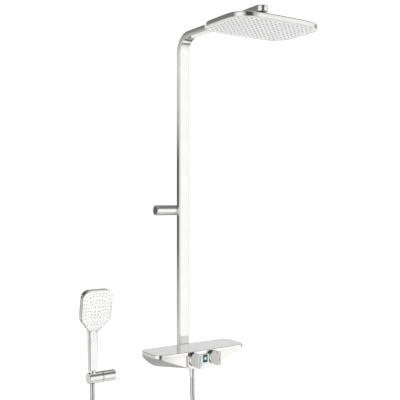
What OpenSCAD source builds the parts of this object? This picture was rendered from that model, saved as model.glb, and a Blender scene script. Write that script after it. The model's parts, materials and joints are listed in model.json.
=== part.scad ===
// Wall-mounted rainfall shower column with a thermostatic shelf mixer, a hand shower and its wall holder.
// The origin is on the wall plane, midway between the two water inlets. +X is right, -Y is away from the
// wall and +Z is up. All lengths are in millimetres.

/* [Column] */
// Width of the flat column, along the wall
column_w = 40; // [36:1:44]
// Depth of the flat column, away from the wall
column_d = 20; // [18:1:22]
// Space between the wall and the back of the column
wall_gap = 40; // [40:1:46]
// Height of the top of the arm above the water inlets
arm_top_z = 1094; // [900:1:1250]
// Reach of the arm, from the column's centre to the rain head's centre
arm_reach = 433; // [400:1:480]
// Height of the wall bracket
bracket_z = 490; // [300:1:700]

/* [Rain head] */
// Width of the rain head, along the wall
head_w = 315; // [280:1:340]
// Depth of the rain head, away from the wall
head_d = 220; // [190:1:236]
// Height of the rain head's rim
head_h = 14; // [12:1:18]
// Gap between the arm's underside and the head's flat top
head_drop = 34; // [34:1:44]
// Distance between neighbouring nozzles in a row
nozzle_pitch = 31; // [28:1:40]

/* [Shelf mixer] */
// Width of the glass shelf
shelf_w = 352; // [340:1:380]
// Depth of the glass shelf
shelf_d = 121; // [112:1:125]
// Height of the shelf's top above the water inlets
shelf_z = 31; // [30:1:33]
// Height of the chrome rim round the shelf
rim_h = 12.5; // [11:0.5:13]
// Distance between the two water inlets
inlet_pitch = 150; // [148:1:152]
// Distance between the two control knobs
knob_pitch = 77; // [74:1:80]
// Diameter of each control knob
knob_dia = 46; // [42:1:48]

/* [Hand shower] */
// Distance from the middle of the mixer to the hand shower
hand_x = 331; // [320:1:345]
// Width of the hand shower's head
hand_head_w = 107; // [96:1:112]
// Lean of the hand shower's head towards the user, in degrees
hand_lean = 12; // [4:1:14]
// Diameter of the holder's barrel and the bracket's barrel
barrel_dia = 35; // [34:1:38]
// Outer diameter of the hose
hose_dia = 16; // [14:1:17]

/* [Hidden] */
$fn = 48;
gap = 0.3; // free space between parts that move past each other
running = 0.06; // radial clearance of a shaft in its bearing
// column
column_y = -wall_gap - column_d / 2;
column_r = 4;
column_wall = 1.6;
bend_r = 58; // centreline radius of the bend
arm_z = arm_top_z - column_d / 2;
bend_z = arm_z - bend_r;
foot_z = -20;
head_y = column_y - arm_reach;
arm_end_len = 20; // straight part of the solid end of the arm
pipe_r = 6;
spigot_r = 6.9;
oring_places = [-50, -54];
// wall bracket and holder barrels
barrel_r = barrel_dia / 2;
barrel_y = -32;
barrel_wall = 3;
cap_t = 3;
bracket_left = -96;
bracket_right = 18;
bracket_post_x = -60;
post_r = 9;
flange_r = 11;
flange_t = 4;
stud_r = 3.4; // tapping size of an M8 wall stud
stud_len = 20;
// rain head
arm_under = arm_top_z - column_d;
head_top = arm_under - head_drop;
face_z = head_top - head_h;
ball_z = arm_under - 20;
ball_r = 11;
cup_r = 15;
head_round = 4.2; // exponent of the bowed outline
outline_steps = 96;
nozzle_cols = 9;
nozzle_rows = 6;
nozzle_r = 2;
nozzle_margin = 14; // from the outline to the outermost nozzles
// shelf
rim_bottom = shelf_z - rim_h;
shelf_back = -wall_gap - column_d - 1;
shelf_front = shelf_back - shelf_d;
shelf_mid_y = (shelf_back + shelf_front) / 2;
shelf_corner = 24;
shelf_bow = 8;
glass_t = 6;
body_bottom = -34;
shell_t = 2;
valve_y = -100;
knob_z = 5;
panel_y = shelf_front - 6; // front of the control panel
knob_r = knob_dia / 2;
disc_t = 5;
grip_w = 12;
grip_d = 23;
spindle_r = 4;
cartridge_r = 17;
cartridge_back = -118;
cartridge_shoulder = -164;
cartridge_nose = -175;
nose_r = 12;
pocket_front = -160;
inlet_r = 10.48; // G1/2 male thread
inlet_len = 14;
// hose outlet under the mixer
outlet_y = -111;
boss_z = -28;
nut_top = -32.5;
nut_bottom = -72;
// holder and hand shower
holder_z = -45;
holder_left = -hand_x - 15;
holder_split = -hand_x + 32;
holder_right = -hand_x + 78;
holder_post_x = holder_right - 24;
cone_top = holder_z + 24;
cone_bottom = holder_z - 13;
cone_r1 = 11.5;
cone_r2 = 8.8;
handle_w = 32;
handle_d = 20;
handle_bottom = cone_top;
handle_top = 105;
hand_head_h = 142;
hand_head_t = 25;
hand_face_y = -19; // front of the hand shower's face, from the handle's axis
hand_centre = 80; // middle of the face, up from the handle's top
hand_window = 18.5; // lower edge of the face, up from the handle's top
hand_rings = [[27, 10], [40, 14]]; // reach and count of each ring of nozzles
hand_nozzle_r = 1.7;
insert_w = 32;
button_z = 86;
button_w = 17;
button_h = 44.4;
spring_places = [-12, 12]; // above and below the middle of the button
// free hose, from the outlet nut down, round the loop and up to the holder
rosette_r = 15; // cover on the wall round each inlet
hose_route = [
    [0, -111, -72], [0, -111, -95], [0, -111, -120], [2, -111, -149], [8, -113, -189],
    [18, -115, -228], [29, -118, -269], [38, -120, -308], [41, -121, -346], [35, -119, -387],
    [19, -115, -428], [-6, -109, -465], [-38, -102, -496], [-76, -93, -519], [-120, -82, -533],
    [-165, -72, -538], [-210, -61, -533], [-254, -50, -519], [-292, -41, -496], [-324, -34, -465],
    [-349, -28, -428], [-365, -24, -387], [-371, -23, -346], [-368, -23, -308], [-360, -25, -269],
    [-349, -28, -228], [-339, -30, -189], [-333, -32, -149], [-331, -32, -120], [-331, -32, -95],
    [-331, -32, -66]
];
hose_sides = 8;
hose_steps = 2; // rings from one point of the route to the next

// ---- shared shapes ----

// rectangle with round corners, centred
module rounded_rect(w, d, r) {
    square([w - 2 * r, d], center = true);
    square([w, d - 2 * r], center = true);
    for (sx = [-1, 1], sy = [-1, 1])
        translate([sx * (w / 2 - r), sy * (d / 2 - r)]) circle(r);
}

// upright tube or disc with an optional hole
module tube(r, h, hole = 0) {
    difference() {
        cylinder(r = r, h = h);
        if (hole > 0) translate([0, 0, -1]) cylinder(r = hole, h = h + 2);
    }
}

// turns local +Z into -Y, away from the wall
module outwards() { rotate([90, 0, 0]) children(); }

// turns local +Z into +Y, towards the wall
module inwards() { rotate([-90, 0, 0]) children(); }

// turns local +Z into +X
module rightwards() { rotate([0, 90, 0]) children(); }

// bowed rectangle of half sizes a and b
function bowed(a, b) = [for (i = [0 : outline_steps - 1])
    let (t = 360 * i / outline_steps, c = cos(t), s = sin(t))
    [a * sign(c) * pow(abs(c), 2 / head_round), b * sign(s) * pow(abs(s), 2 / head_round)]];

// a quarter of a corner, round its centre
function corner(cx, cy, r, from) = [for (i = [0 : 6])
    let (t = from + 15 * i) [cx + r * cos(t), cy + r * sin(t)]];

// plan of the shelf, inset all round; its front edge bows outwards
function shelf_plan(inset) = let (
    a = shelf_w / 2 - inset,
    back = shelf_back - inset,
    front = shelf_front + shelf_bow + inset,
    r = max(shelf_corner - inset, 4))
    concat(
        corner(a - r, back - r, r, 0),
        corner(-a + r, back - r, r, 90),
        corner(-a + r, front + r, r, 180),
        [for (i = [1 : 11]) let (t = i / 6 - 1) [t * (a - r), front - shelf_bow * (1 - t * t)]],
        corner(a - r, front + r, r, 270));

// front outline of the hand shower's head, from the handle up, inset all round
function paddle(inset) = let (
    w = hand_head_w / 2 - inset,
    top = hand_head_h - inset,
    r = 24 - inset / 2,
    neck = handle_w / 2 - inset * 0.4,
    shoulder = 40 + inset * 0.3)
    concat(
        [[neck, inset], [w - 5, shoulder], [w - 1.2, shoulder + 8], [w, shoulder + 18]],
        corner(w - r, top - r, r, 0),
        corner(-w + r, top - r, r, 90),
        [[-w, shoulder + 18], [-w + 1.2, shoulder + 8], [-w + 5, shoulder], [-neck, inset]]);

// lower edge of the control panel, from its side to the middle
panel_w = 128;
function panel_edge(inset) = [
    [panel_w / 2 - inset / 2, -15 + inset], [42, -21.5 + inset], [20, -26 + inset], [0, -27.5 + inset]];
// half of the mixer's front profile, from the rim down to the middle
function front_profile(inset) = concat([[shelf_w / 2 - inset, rim_bottom]], panel_edge(inset));
// half of the back profile: down from the rim on a curve, then flat to the middle
flank_steps = 12;
flank_curve = [[0, 0], [16, 18.5], [46, 52.5], [81, 52.5]]; // control points, inwards and down
function back_profile(inset) = concat(
    [for (i = [0 : flank_steps]) let (t = i / flank_steps, u = 1 - t,
        p = u * u * u * flank_curve[0] + 3 * u * u * t * flank_curve[1]
            + 3 * u * t * t * flank_curve[2] + t * t * t * flank_curve[3])
        [shelf_w / 2 - inset - p[0],
         rim_bottom - p[1] * (rim_bottom - body_bottom - inset) / flank_curve[3][1]]],
    [[0, body_bottom + inset]]);
// adds the left half to a profile that ends in the middle
function mirrored(half) = concat(half, [for (i = [len(half) - 2 : -1 : 0]) [-half[i][0], half[i][1]]]);

// boat-shaped body under the rim
module hull_body(inset) {
    hull() {
        translate([0, shelf_back + 2, 0]) outwards() linear_extrude(1) polygon(mirrored(back_profile(inset)));
        translate([0, panel_y + 4, 0]) outwards() linear_extrude(1) polygon(mirrored(front_profile(inset)));
    }
}

// ---- column ----

// swept outline of the column and arm, shrunk by inset; the foot is open
module column_sweep(inset) {
    w = column_w - 2 * inset;
    d = column_d - 2 * inset;
    r = column_r - inset;
    translate([0, column_y, foot_z]) linear_extrude(bend_z - foot_z) rounded_rect(w, d, r);
    translate([0, column_y - bend_r, bend_z]) rotate([90, 0, 90])
        rotate_extrude(angle = 90) translate([bend_r, 0]) rounded_rect(d, w, r);
    translate([0, column_y - bend_r, arm_z]) outwards()
        linear_extrude(column_y - bend_r - head_y - arm_end_len) rounded_rect(w, d, r);
}

module column_tube() {
    color("silver") difference() {
        column_sweep(0);
        column_sweep(column_wall);
        translate([0, column_y, foot_z - 1])
            linear_extrude(3) rounded_rect(column_w - 2 * column_wall, column_d - 2 * column_wall, 2.4);
        translate([0, head_y + arm_end_len + 1, arm_z]) outwards()
            linear_extrude(3) rounded_rect(column_w - 2 * column_wall, column_d - 2 * column_wall, 2.4);
        translate([0, column_y, 0]) outwards() cylinder(r = 8.5, h = column_d);
    }
}

module pipe_sweep(r) {
    translate([0, column_y, 14]) cylinder(r = r, h = bend_z - 14);
    translate([0, column_y - bend_r, bend_z]) rotate([90, 0, 90])
        rotate_extrude(angle = 90) translate([bend_r, 0]) circle(r);
    translate([0, column_y - bend_r, arm_z]) outwards()
        cylinder(r = r, h = column_y - bend_r - head_y - arm_end_len + 8);
}

module riser_pipe() {
    color("peru") difference() {
        pipe_sweep(pipe_r - 0.1);
        pipe_sweep(pipe_r - 1.1);
        translate([0, column_y, 13]) cylinder(r = pipe_r - 1.1, h = 3);
        translate([0, head_y + arm_end_len - 6, arm_z]) outwards() cylinder(r = pipe_r - 1.1, h = 4);
    }
}

module arm_end() {
    plug_gap = column_wall + 0.2;
    color("silver") difference() {
        union() {
            translate([0, head_y, arm_z]) inwards()
                linear_extrude(arm_end_len) rounded_rect(column_w, column_d, column_r);
            translate([0, head_y, arm_z]) rotate([0, 0, 180]) rotate_extrude(angle = 180)
                intersection() {
                    rounded_rect(column_w, column_d, column_r);
                    translate([0, -column_d]) square([column_w, 2 * column_d]);
                }
            translate([0, head_y + arm_end_len, arm_z]) inwards() linear_extrude(18)
                rounded_rect(column_w - 2 * plug_gap, column_d - 2 * plug_gap, 2.2);
        }
        translate([0, head_y, arm_under - 1]) cylinder(r = inlet_r + 0.1, h = 13);
        translate([0, head_y, arm_z]) inwards() cylinder(r = pipe_r, h = arm_end_len + 20);
    }
}

module riser_foot() {
    plug_gap = column_wall + 0.2;
    color("goldenrod") difference() {
        union() {
            translate([0, column_y, foot_z]) linear_extrude(46)
                rounded_rect(column_w - 2 * plug_gap, column_d - 2 * plug_gap, 2.2);
            translate([0, column_y, foot_z - 3]) linear_extrude(3) rounded_rect(column_w, column_d, column_r);
        }
        translate([0, column_y, 13]) cylinder(r = pipe_r, h = 20);
        translate([0, column_y, 0]) cylinder(r = 4, h = 20);
        translate([0, column_y + 3, 0]) outwards() cylinder(r = spigot_r + 0.1, h = 20);
    }
}

module spigot_orings() {
    color("black") oring_seats(0.9);
}

// rings round the spigot where its O-rings sit
module oring_seats(r) {
    for (y = oring_places) translate([0, y, 0]) outwards()
        rotate_extrude() translate([spigot_r - 0.95, 0]) circle(r = r, $fn = 24);
}

// ---- bracket that ties the column to the wall ----

module bracket_barrel() {
    color("silver") difference() {
        translate([bracket_left, barrel_y, bracket_z]) rightwards()
            tube(barrel_r, bracket_right - bracket_left, barrel_r - barrel_wall);
        translate([-column_w / 2, column_y - column_d, bracket_z - 30])
            cube([column_w + 2, column_d * 1.5, 60]);
        translate([bracket_post_x, barrel_y, bracket_z]) inwards()
            cylinder(r = post_r + 0.1, h = barrel_r + 2);
    }
}

module bracket_core() {
    core_left = bracket_left + 3;
    color("gray") difference() {
        translate([core_left, barrel_y, bracket_z]) rightwards()
            cylinder(r = barrel_r - barrel_wall - 0.1, h = bracket_right - core_left);
        translate([-column_w / 2, column_y - column_d, bracket_z - 30])
            cube([column_w + 2, column_d * 1.5, 60]);
        translate([bracket_post_x, barrel_y, bracket_z]) inwards()
            cylinder(r = post_r + 0.1, h = barrel_r + 2);
    }
}

module bracket_cap() {
    color("silver") {
        translate([bracket_left - cap_t, barrel_y, bracket_z]) rightwards()
            cylinder(r = barrel_r - 0.4, h = cap_t);
        translate([bracket_left, barrel_y, bracket_z]) rightwards()
            cylinder(r = barrel_r - barrel_wall - 0.1, h = 3);
    }
}

// round post with a threaded socket for a wall stud
module wall_post(x, z) {
    translate([x, 0, z]) outwards() difference() {
        union() {
            cylinder(r = flange_r, h = flange_t);
            cylinder(r = post_r, h = -barrel_y);
        }
        translate([0, 0, -1]) cylinder(r = stud_r, h = stud_len + 1);
    }
}

module bracket_post() { color("silver") wall_post(bracket_post_x, bracket_z); }

// ---- rain head and its ball joint ----

module ball_stem() {
    color("silver") translate([0, head_y, 0]) difference() {
        union() {
            translate([0, 0, ball_z]) sphere(r = ball_r);
            translate([0, 0, ball_z]) cylinder(r = 7, h = arm_under - ball_z);
            translate([0, 0, arm_under - 6]) cylinder(r = 14, h = 4.5);
            translate([0, 0, arm_under - 2]) cylinder(r = inlet_r, h = 12);
        }
        translate([0, 0, ball_z - ball_r - 1]) cylinder(r = 4, h = 60);
    }
}

module stem_gasket() {
    color("black") translate([0, head_y, arm_under - 1.5]) tube(13.5, 1.5, inlet_r);
}

module ball_cup() {
    color("white") translate([0, head_y, ball_z]) difference() {
        sphere(r = cup_r);
        sphere(r = ball_r + gap);
        translate([0, 0, 5]) cylinder(r = cup_r + 1, h = cup_r);
        translate([0, 0, -cup_r - 1]) cylinder(r = 5, h = cup_r);
    }
}

module swivel_nut() {
    color("silver") translate([0, head_y, ball_z]) difference() {
        translate([0, 0, 1]) cylinder(r = 22, h = 9);
        sphere(r = cup_r + gap);
        cylinder(r = 12, h = 20);
        translate([0, 0, -1]) cylinder(r = 17.6, h = 5);
    }
}

module head_flange() {
    color("silver") translate([0, head_y, 0]) difference() {
        union() {
            translate([0, 0, head_top]) cylinder(r = 26, h = 3);
            translate([0, 0, head_top]) cylinder(r = 21, h = ball_z + 1 - head_top);
            translate([0, 0, ball_z]) cylinder(r = 17.5, h = 4);
        }
        translate([0, 0, ball_z]) sphere(r = cup_r + gap);
        translate([0, 0, ball_z]) cylinder(r = cup_r + gap, h = 6);
        translate([0, 0, head_top - 1]) cylinder(r = 6, h = 20);
    }
}

module head_shell() {
    wall = 2;
    color("silver") translate([0, head_y, 0]) difference() {
        translate([0, 0, face_z]) linear_extrude(head_h) polygon(bowed(head_w / 2, head_d / 2));
        translate([0, 0, face_z - 1]) linear_extrude(head_h - wall + 1)
            polygon(bowed(head_w / 2 - wall, head_d / 2 - wall));
        translate([0, 0, head_top - 5]) cylinder(r = 8, h = 10);
    }
}

// nozzle places that lie inside the face; every other row is shifted by half a pitch
nozzle_spots = [for (j = [0 : nozzle_rows - 1], i = [0 : nozzle_cols - 1])
    let (x = (i - (nozzle_cols - 1) / 2 + (j % 2) / 2 - 0.25) * nozzle_pitch,
         y = (j - (nozzle_rows - 1) / 2) * nozzle_pitch)
    if (pow(abs(x) / (head_w / 2 - nozzle_margin), head_round)
        + pow(abs(y) / (head_d / 2 - nozzle_margin), head_round) < 1) [x, y]];

module spray_plate() {
    color("whitesmoke") translate([0, head_y, face_z]) difference() {
        linear_extrude(3) polygon(bowed(head_w / 2 - 2.2, head_d / 2 - 2.2));
        for (spot = nozzle_spots)
            translate([spot[0], spot[1], -1]) cylinder(r = nozzle_r + 0.2, h = 5, $fn = 16);
    }
}

module nozzle_mat() {
    color("lightgray") translate([0, head_y, face_z]) {
        translate([0, 0, 3]) linear_extrude(1.5) polygon(bowed(head_w / 2 - 6, head_d / 2 - 6));
        for (spot = nozzle_spots)
            translate([spot[0], spot[1], -1.5]) cylinder(r = nozzle_r, h = 5, $fn = 16);
    }
}

module flow_limiter() {
    color("seagreen") translate([0, head_y, head_top - 4]) tube(12, 2, 1.5);
}

// ---- shelf and mixer body ----

module shelf_glass() {
    color("lightgray") translate([0, 0, shelf_z - glass_t])
        linear_extrude(glass_t - 0.4) polygon(shelf_plan(3.2));
}

module shelf_rim() {
    color("silver") difference() {
        translate([0, 0, rim_bottom]) linear_extrude(rim_h) polygon(shelf_plan(0));
        translate([0, 0, shelf_z - glass_t]) linear_extrude(rim_h) polygon(shelf_plan(3));
        translate([0, 0, rim_bottom - 1]) linear_extrude(rim_h) polygon(shelf_plan(8));
    }
}

module mixer_housing() {
    color("silver") difference() {
        intersection() {
            hull_body(0);
            translate([0, 0, body_bottom - 1])
                linear_extrude(rim_bottom - body_bottom + 1) polygon(shelf_plan(0.5));
        }
        intersection() {
            hull_body(shell_t);
            translate([0, 0, body_bottom]) linear_extrude(rim_bottom - body_bottom + 5)
                polygon(shelf_plan(3));
        }
        translate([0, 0, rim_bottom - 6]) linear_extrude(8) polygon(shelf_plan(12));
        for (side = [-1, 1]) {
            translate([side * inlet_pitch / 2, shelf_back - 8, 0]) inwards() cylinder(r = 13, h = 14);
            translate([side * knob_pitch / 2, panel_y + 14, knob_z]) outwards()
                cylinder(r = nose_r + 0.5, h = 16);
        }
        display_well();
        translate([0, shelf_back - 8, 0]) inwards() cylinder(r = 9, h = 14);
        translate([0, outlet_y, body_bottom - 2]) cylinder(r = 11.5, h = 8);
    }
}

module control_panel() {
    color("silver") difference() {
        translate([0, panel_y + 8, 0]) outwards() linear_extrude(8)
            polygon(mirrored(concat([[panel_w / 2, rim_bottom - 0.2]], panel_edge(0))));
        mixer_housing_core();
        for (side = [-1, 1])
            translate([side * knob_pitch / 2, panel_y + 14, knob_z]) outwards() cylinder(r = 13, h = 16);
        display_well();
    }
}

// pocket for the display's board, from the bezel back into the mixer
module display_well() { translate([-8, panel_y - 2, knob_z - 12]) cube([16, 22, 22]); }

// the space behind the control panel that the housing fills
module mixer_housing_core() {
    translate([0, 0, body_bottom - 1]) linear_extrude(rim_bottom - body_bottom + 10) polygon(shelf_plan(0.4));
}

module display_bezel() {
    color("lightcyan") difference() {
        translate([-14, panel_y - 1.2, -18]) cube([28, 1.2, 36]);
        display_well();
    }
}

module display_window() {
    color("darkslategray") translate([-8.5, panel_y - 2.2, knob_z - 12.5]) cube([17, 1, 25]);
}

module display_board() {
    color("darkgreen") translate([-7.5, panel_y - 1, knob_z - 11]) cube([15, 16, 20]);
}

module valve_body() {
    color("goldenrod") difference() {
        union() {
            translate([-inlet_pitch / 2 - 16, valve_y, -2]) rightwards()
                cylinder(r = 15, h = inlet_pitch + 32);
            for (side = [-1, 1]) {
                translate([side * knob_pitch / 2, valve_y, knob_z]) outwards()
                    cylinder(r = cartridge_r + 2, h = valve_y - pocket_front);
                translate([side * inlet_pitch / 2, valve_y, 0]) inwards() cylinder(r = 12, h = 44);
            }
            translate([0, valve_y, 0]) inwards() cylinder(r = spigot_r, h = -valve_y + column_y + 3);
            translate([0, outlet_y, boss_z]) cylinder(r = 13, h = 28);
        }
        for (side = [-1, 1]) {
            translate([side * knob_pitch / 2, cartridge_back, knob_z]) outwards()
                cylinder(r = cartridge_r + 0.1, h = 60);
            translate([side * inlet_pitch / 2, valve_y, 0]) inwards() cylinder(r = 8, h = 60);
        }
        oring_seats(1);
        translate([0, valve_y, 0]) inwards() cylinder(r = 4.5, h = 60);
        translate([0, outlet_y, boss_z - 1]) cylinder(r = 8.1, h = 21);
    }
}

module inlet_unions() {
    color("silver") for (side = [-1, 1]) translate([side * inlet_pitch / 2, 0, 0]) {
        difference() {
            union() {
                translate([0, inlet_len, 0]) outwards() cylinder(r = inlet_r, h = inlet_len);
                outwards() cylinder(r = 11, h = 52);
                translate([0, -47, 0]) outwards() cylinder(r = 13, h = 5);
            }
            translate([0, inlet_len + 1, 0]) outwards() cylinder(r = 7, h = 30);
            translate([0, -10, 0]) outwards() cylinder(r = 8, h = 60);
        }
    }
}

module inlet_nuts() {
    color("silver") for (side = [-1, 1]) translate([side * inlet_pitch / 2, -41, 0]) outwards() difference() {
        cylinder(r = 17, h = 17, $fn = 6);
        translate([0, 0, -1]) cylinder(r = 11.2, h = 20);
        translate([0, 0, 5.8]) cylinder(r = 13.3, h = 20);
    }
}

module inlet_rosettes() {
    color("silver") for (side = [-1, 1]) translate([side * inlet_pitch / 2, 0, 0]) outwards() difference() {
        union() {
            cylinder(r = rosette_r, h = 5);
            translate([0, 0, 5]) cylinder(r1 = rosette_r, r2 = 13, h = 6);
        }
        translate([0, 0, -1]) cylinder(r = 11.2, h = 20);
    }
}

module inlet_strainers() {
    color("dimgray") for (side = [-1, 1])
        translate([side * inlet_pitch / 2, -52.2, 0]) outwards() tube(12, 3.4, 7);
}

// spring-loaded disc of a non-return valve, with its guide stem
module check_poppet(side) {
    translate([side * inlet_pitch / 2, -34, 0]) outwards() {
        cylinder(r = 6.5, h = 2.5);
        cylinder(r = 2, h = 12);
    }
}
module check_poppet_hot() { color("red") check_poppet(-1); }
module check_poppet_cold() { color("blue") check_poppet(1); }

// sleeve of a cartridge: an open drum behind, a guide for the spindle in front
module cartridge(side) {
    translate([side * knob_pitch / 2, cartridge_back, knob_z]) outwards() difference() {
        union() {
            cylinder(r = cartridge_r, h = cartridge_back - cartridge_shoulder);
            cylinder(r = nose_r, h = cartridge_back - cartridge_nose);
        }
        translate([0, 0, 4]) cylinder(r = 12, h = 30);
        translate([0, 0, 10]) cylinder(r = spindle_r + running, h = 60);
    }
}
module flow_cartridge() { color("ivory") cartridge(-1); }
module thermo_cartridge() { color("khaki") cartridge(1); }

// spindle with its carrier plate; the knob sits on the front end
module spindle(side, plate_r) {
    translate([side * knob_pitch / 2, cartridge_back - 10, knob_z]) outwards() {
        translate([0, 0, 16]) cylinder(r = plate_r, h = 5);
        cylinder(r = spindle_r, h = cartridge_back - 10 - panel_y + disc_t + 12);
    }
}
module flow_spindle() { color("gray") spindle(-1, 11.5); }
module thermo_spindle() { color("gray") spindle(1, 8); }

module thermo_spool() {
    color("ivory") translate([knob_pitch / 2, cartridge_back - 12, knob_z]) outwards()
        tube(11.5, 10, spindle_r + running);
}

module knob_disc(side) {
    translate([side * knob_pitch / 2, panel_y - gap, knob_z]) outwards() difference() {
        cylinder(r = knob_r, h = disc_t);
        translate([0, 0, -1]) cylinder(r = spindle_r + 0.02, h = 20);
    }
}
module flow_disc() { color("silver") knob_disc(-1); }
module temp_disc() { color("silver") knob_disc(1); }

// bar across the knob; its ends follow the disc
module knob_grip(side) {
    translate([side * knob_pitch / 2, panel_y - gap - disc_t, knob_z]) outwards() difference() {
        intersection() {
            cylinder(r = knob_r, h = grip_d);
            translate([-grip_w / 2, -knob_r, 0]) cube([grip_w, 2 * knob_r, grip_d]);
        }
        translate([0, 0, -1]) cylinder(r = spindle_r + 0.02, h = 13);
        if (side > 0) rotate([90, 0, 0]) translate([0, grip_d / 2, 10]) cylinder(r = 3 + running, h = 30);
    }
}
module flow_grip() { color("silver") knob_grip(-1); }
module temp_grip() { color("silver") knob_grip(1); }

module stop_button() {
    color("silver") translate([knob_pitch / 2, panel_y - gap - disc_t - grip_d / 2, knob_z - knob_r - 1.5])
        cylinder(r = 3, h = 9);
}

// ---- hose and its outlet ----

module outlet_nipple() {
    color("silver") translate([0, outlet_y, 0]) difference() {
        union() {
            translate([0, 0, boss_z - 2]) cylinder(r = 8, h = 20);
            translate([0, 0, boss_z - 18]) cylinder(r = 10, h = 17.8);
        }
        translate([0, 0, body_bottom - 20]) cylinder(r = 5, h = 60);
    }
}

module outlet_nut() {
    color("silver") translate([0, outlet_y, 0]) difference() {
        translate([0, 0, nut_bottom]) cylinder(r1 = 9, r2 = 12.2, h = nut_top - nut_bottom);
        translate([0, 0, boss_z - 18.5]) cylinder(r = 10.1, h = 20);
        translate([0, 0, nut_bottom - 1]) cylinder(r = 5, h = 40);
    }
}

// point of the route, with its ends repeated
function route_point(route, i) = route[min(max(i, 0), len(route) - 1)];
// point between b and c on a smooth curve through a, b, c and d
function smooth(a, b, c, d, t) =
    0.5 * (2 * b + (c - a) * t + (2 * a - 5 * b + 4 * c - d) * t * t
    + (3 * b - a - 3 * c + d) * t * t * t);
function curve_points(route, steps) = [for (i = [0 : len(route) - 2], k = [0 : steps - 1])
    smooth(route_point(route, i - 1), route[i], route[i + 1], route_point(route, i + 2), k / steps)];
function unit(v) = v / norm(v);
// sweeps a round section along a path whose side direction stays close to the given one
module swept_tube(path, r, sides, side_dir) {
    n = len(path);
    rings = [for (i = [0 : n - 1])
        let (dir = (i == 0 || i == n - 1) ? [0, 0, i == 0 ? -1 : 1] : unit(path[i + 1] - path[i - 1]),
             u = unit(side_dir - dir * (side_dir * dir)),
             v = cross(dir, u))
        [for (k = [0 : sides - 1]) let (t = 360 * k / sides) path[i] + r * cos(t) * u + r * sin(t) * v]];
    points = [for (ring = rings, p = ring) p];
    caps = [[for (k = [sides - 1 : -1 : 0]) k], [for (k = [0 : sides - 1]) (n - 1) * sides + k]];
    walls = [for (i = [0 : n - 2], k = [0 : sides - 1])
        let (a = i * sides + k, b = i * sides + (k + 1) % sides)
        each [[a, b, b + sides], [a, b + sides, a + sides]]];
    faces = [for (f = concat(caps, walls)) [for (k = [len(f) - 1 : -1 : 0]) f[k]]];
    polyhedron(points = points, faces = faces);
}

module hose() {
    last = hose_route[len(hose_route) - 1];
    path = concat(curve_points(hose_route, hose_steps), [last]);
    color("silver") swept_tube(path, hose_dia / 2, hose_sides, [0.23, 0.97, 0]);
}

// ---- holder on the wall ----

module holder_barrel() {
    color("silver") difference() {
        translate([holder_split + 1.5, barrel_y, holder_z]) rightwards() {
            tube(barrel_r, holder_right - holder_split - 4, barrel_r - barrel_wall);
        }
        translate([holder_post_x, barrel_y, holder_z]) inwards() cylinder(r = post_r + 0.1, h = barrel_r + 2);
    }
}

// hub inside the fixed half, with the axle that the cup turns on
module holder_core() {
    color("gray") difference() {
        union() {
            translate([holder_split + 1.5, barrel_y, holder_z]) rightwards()
                cylinder(r = barrel_r - barrel_wall - 0.1, h = holder_right - holder_split - 4);
            translate([holder_split - 12, barrel_y, holder_z]) rightwards() cylinder(r = 6, h = 20);
        }
        translate([holder_post_x, barrel_y, holder_z]) inwards() cylinder(r = post_r + 0.1, h = barrel_r + 2);
    }
}

module holder_end_ring() {
    color("silver") translate([holder_right - 2.5, barrel_y, holder_z]) rightwards()
        cylinder(r1 = barrel_r, r2 = barrel_r - 2.5, h = 2.5);
}

module holder_cup() {
    color("silver") difference() {
        translate([holder_left + cap_t, barrel_y, holder_z]) rightwards()
            cylinder(r = barrel_r, h = holder_split - holder_left - cap_t);
        translate([-hand_x, barrel_y, cone_bottom - 10]) cylinder(r = cone_r2 + 0.1, h = 60);
        translate([-hand_x, barrel_y, cone_bottom])
            cylinder(r1 = cone_r2 + 0.1, r2 = cone_r1 + 0.1, h = cone_top - cone_bottom);
        translate([holder_split - 13, barrel_y, holder_z]) rightwards() cylinder(r = 6 + running, h = 20);
    }
}

module holder_cup_cap() {
    color("silver") translate([holder_left, barrel_y, holder_z]) rightwards()
        cylinder(r1 = barrel_r - 0.8, r2 = barrel_r, h = cap_t);
}

module holder_post() { color("silver") wall_post(holder_post_x, holder_z); }

module cone_nut() {
    color("silver") translate([-hand_x, barrel_y, 0]) difference() {
        translate([0, 0, cone_bottom]) cylinder(r1 = cone_r2, r2 = cone_r1, h = cone_top - cone_bottom);
        translate([0, 0, cone_bottom - 1]) cylinder(r = 5, h = 60);
    }
}

// crimped end of the hose, under the cone
module hose_ferrule() {
    color("silver") translate([-hand_x, barrel_y, cone_bottom - 5]) tube(8.2, 5, 5);
}

// ---- hand shower ----

// places the head's own frame: origin at the top of the handle, z up along the head
module hand_head_frame() {
    translate([-hand_x, barrel_y, handle_top]) rotate([hand_lean, 0, 0]) children();
}

// slab of the head's outline between two depths
module paddle_slab(inset, front, thick) {
    translate([0, front + thick, 0]) outwards() linear_extrude(thick) polygon(paddle(inset));
}

// part of such a slab above the lower edge of the face
module window_slab(inset, front, thick) {
    low = hand_window + inset / 10;
    intersection() {
        paddle_slab(inset, front, thick);
        translate([-hand_head_w, front - 1, low]) cube([2 * hand_head_w, thick + 2, hand_head_h]);
    }
}

module hand_shell() {
    color("silver") difference() {
        union() {
            hull() {
                translate([-hand_x, barrel_y, handle_bottom])
                    linear_extrude(1) rounded_rect(handle_w - 4, handle_d - 3, 6, $fn = 32);
                translate([-hand_x, barrel_y, handle_top - 6])
                    linear_extrude(1) rounded_rect(handle_w, handle_d, 6, $fn = 32);
                hand_head_frame() translate([-handle_w / 2, hand_face_y + 6, 2]) cube([handle_w, 19, 6]);
            }
            hand_head_frame() hull() {
                paddle_slab(0, hand_face_y, 17);
                paddle_slab(10, hand_face_y, hand_head_t);
            }
        }
        hand_head_frame() window_slab(3.5, hand_face_y - 1, 12);
        translate([-hand_x, barrel_y, handle_bottom - 1])
            cylinder(r = 5.2, h = handle_top - handle_bottom - 2);
        translate([-hand_x, barrel_y - handle_d, button_z])
            outwards_slot(button_w + 2 * gap, button_h + 2 * gap, 14.4);
    }
}

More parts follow.
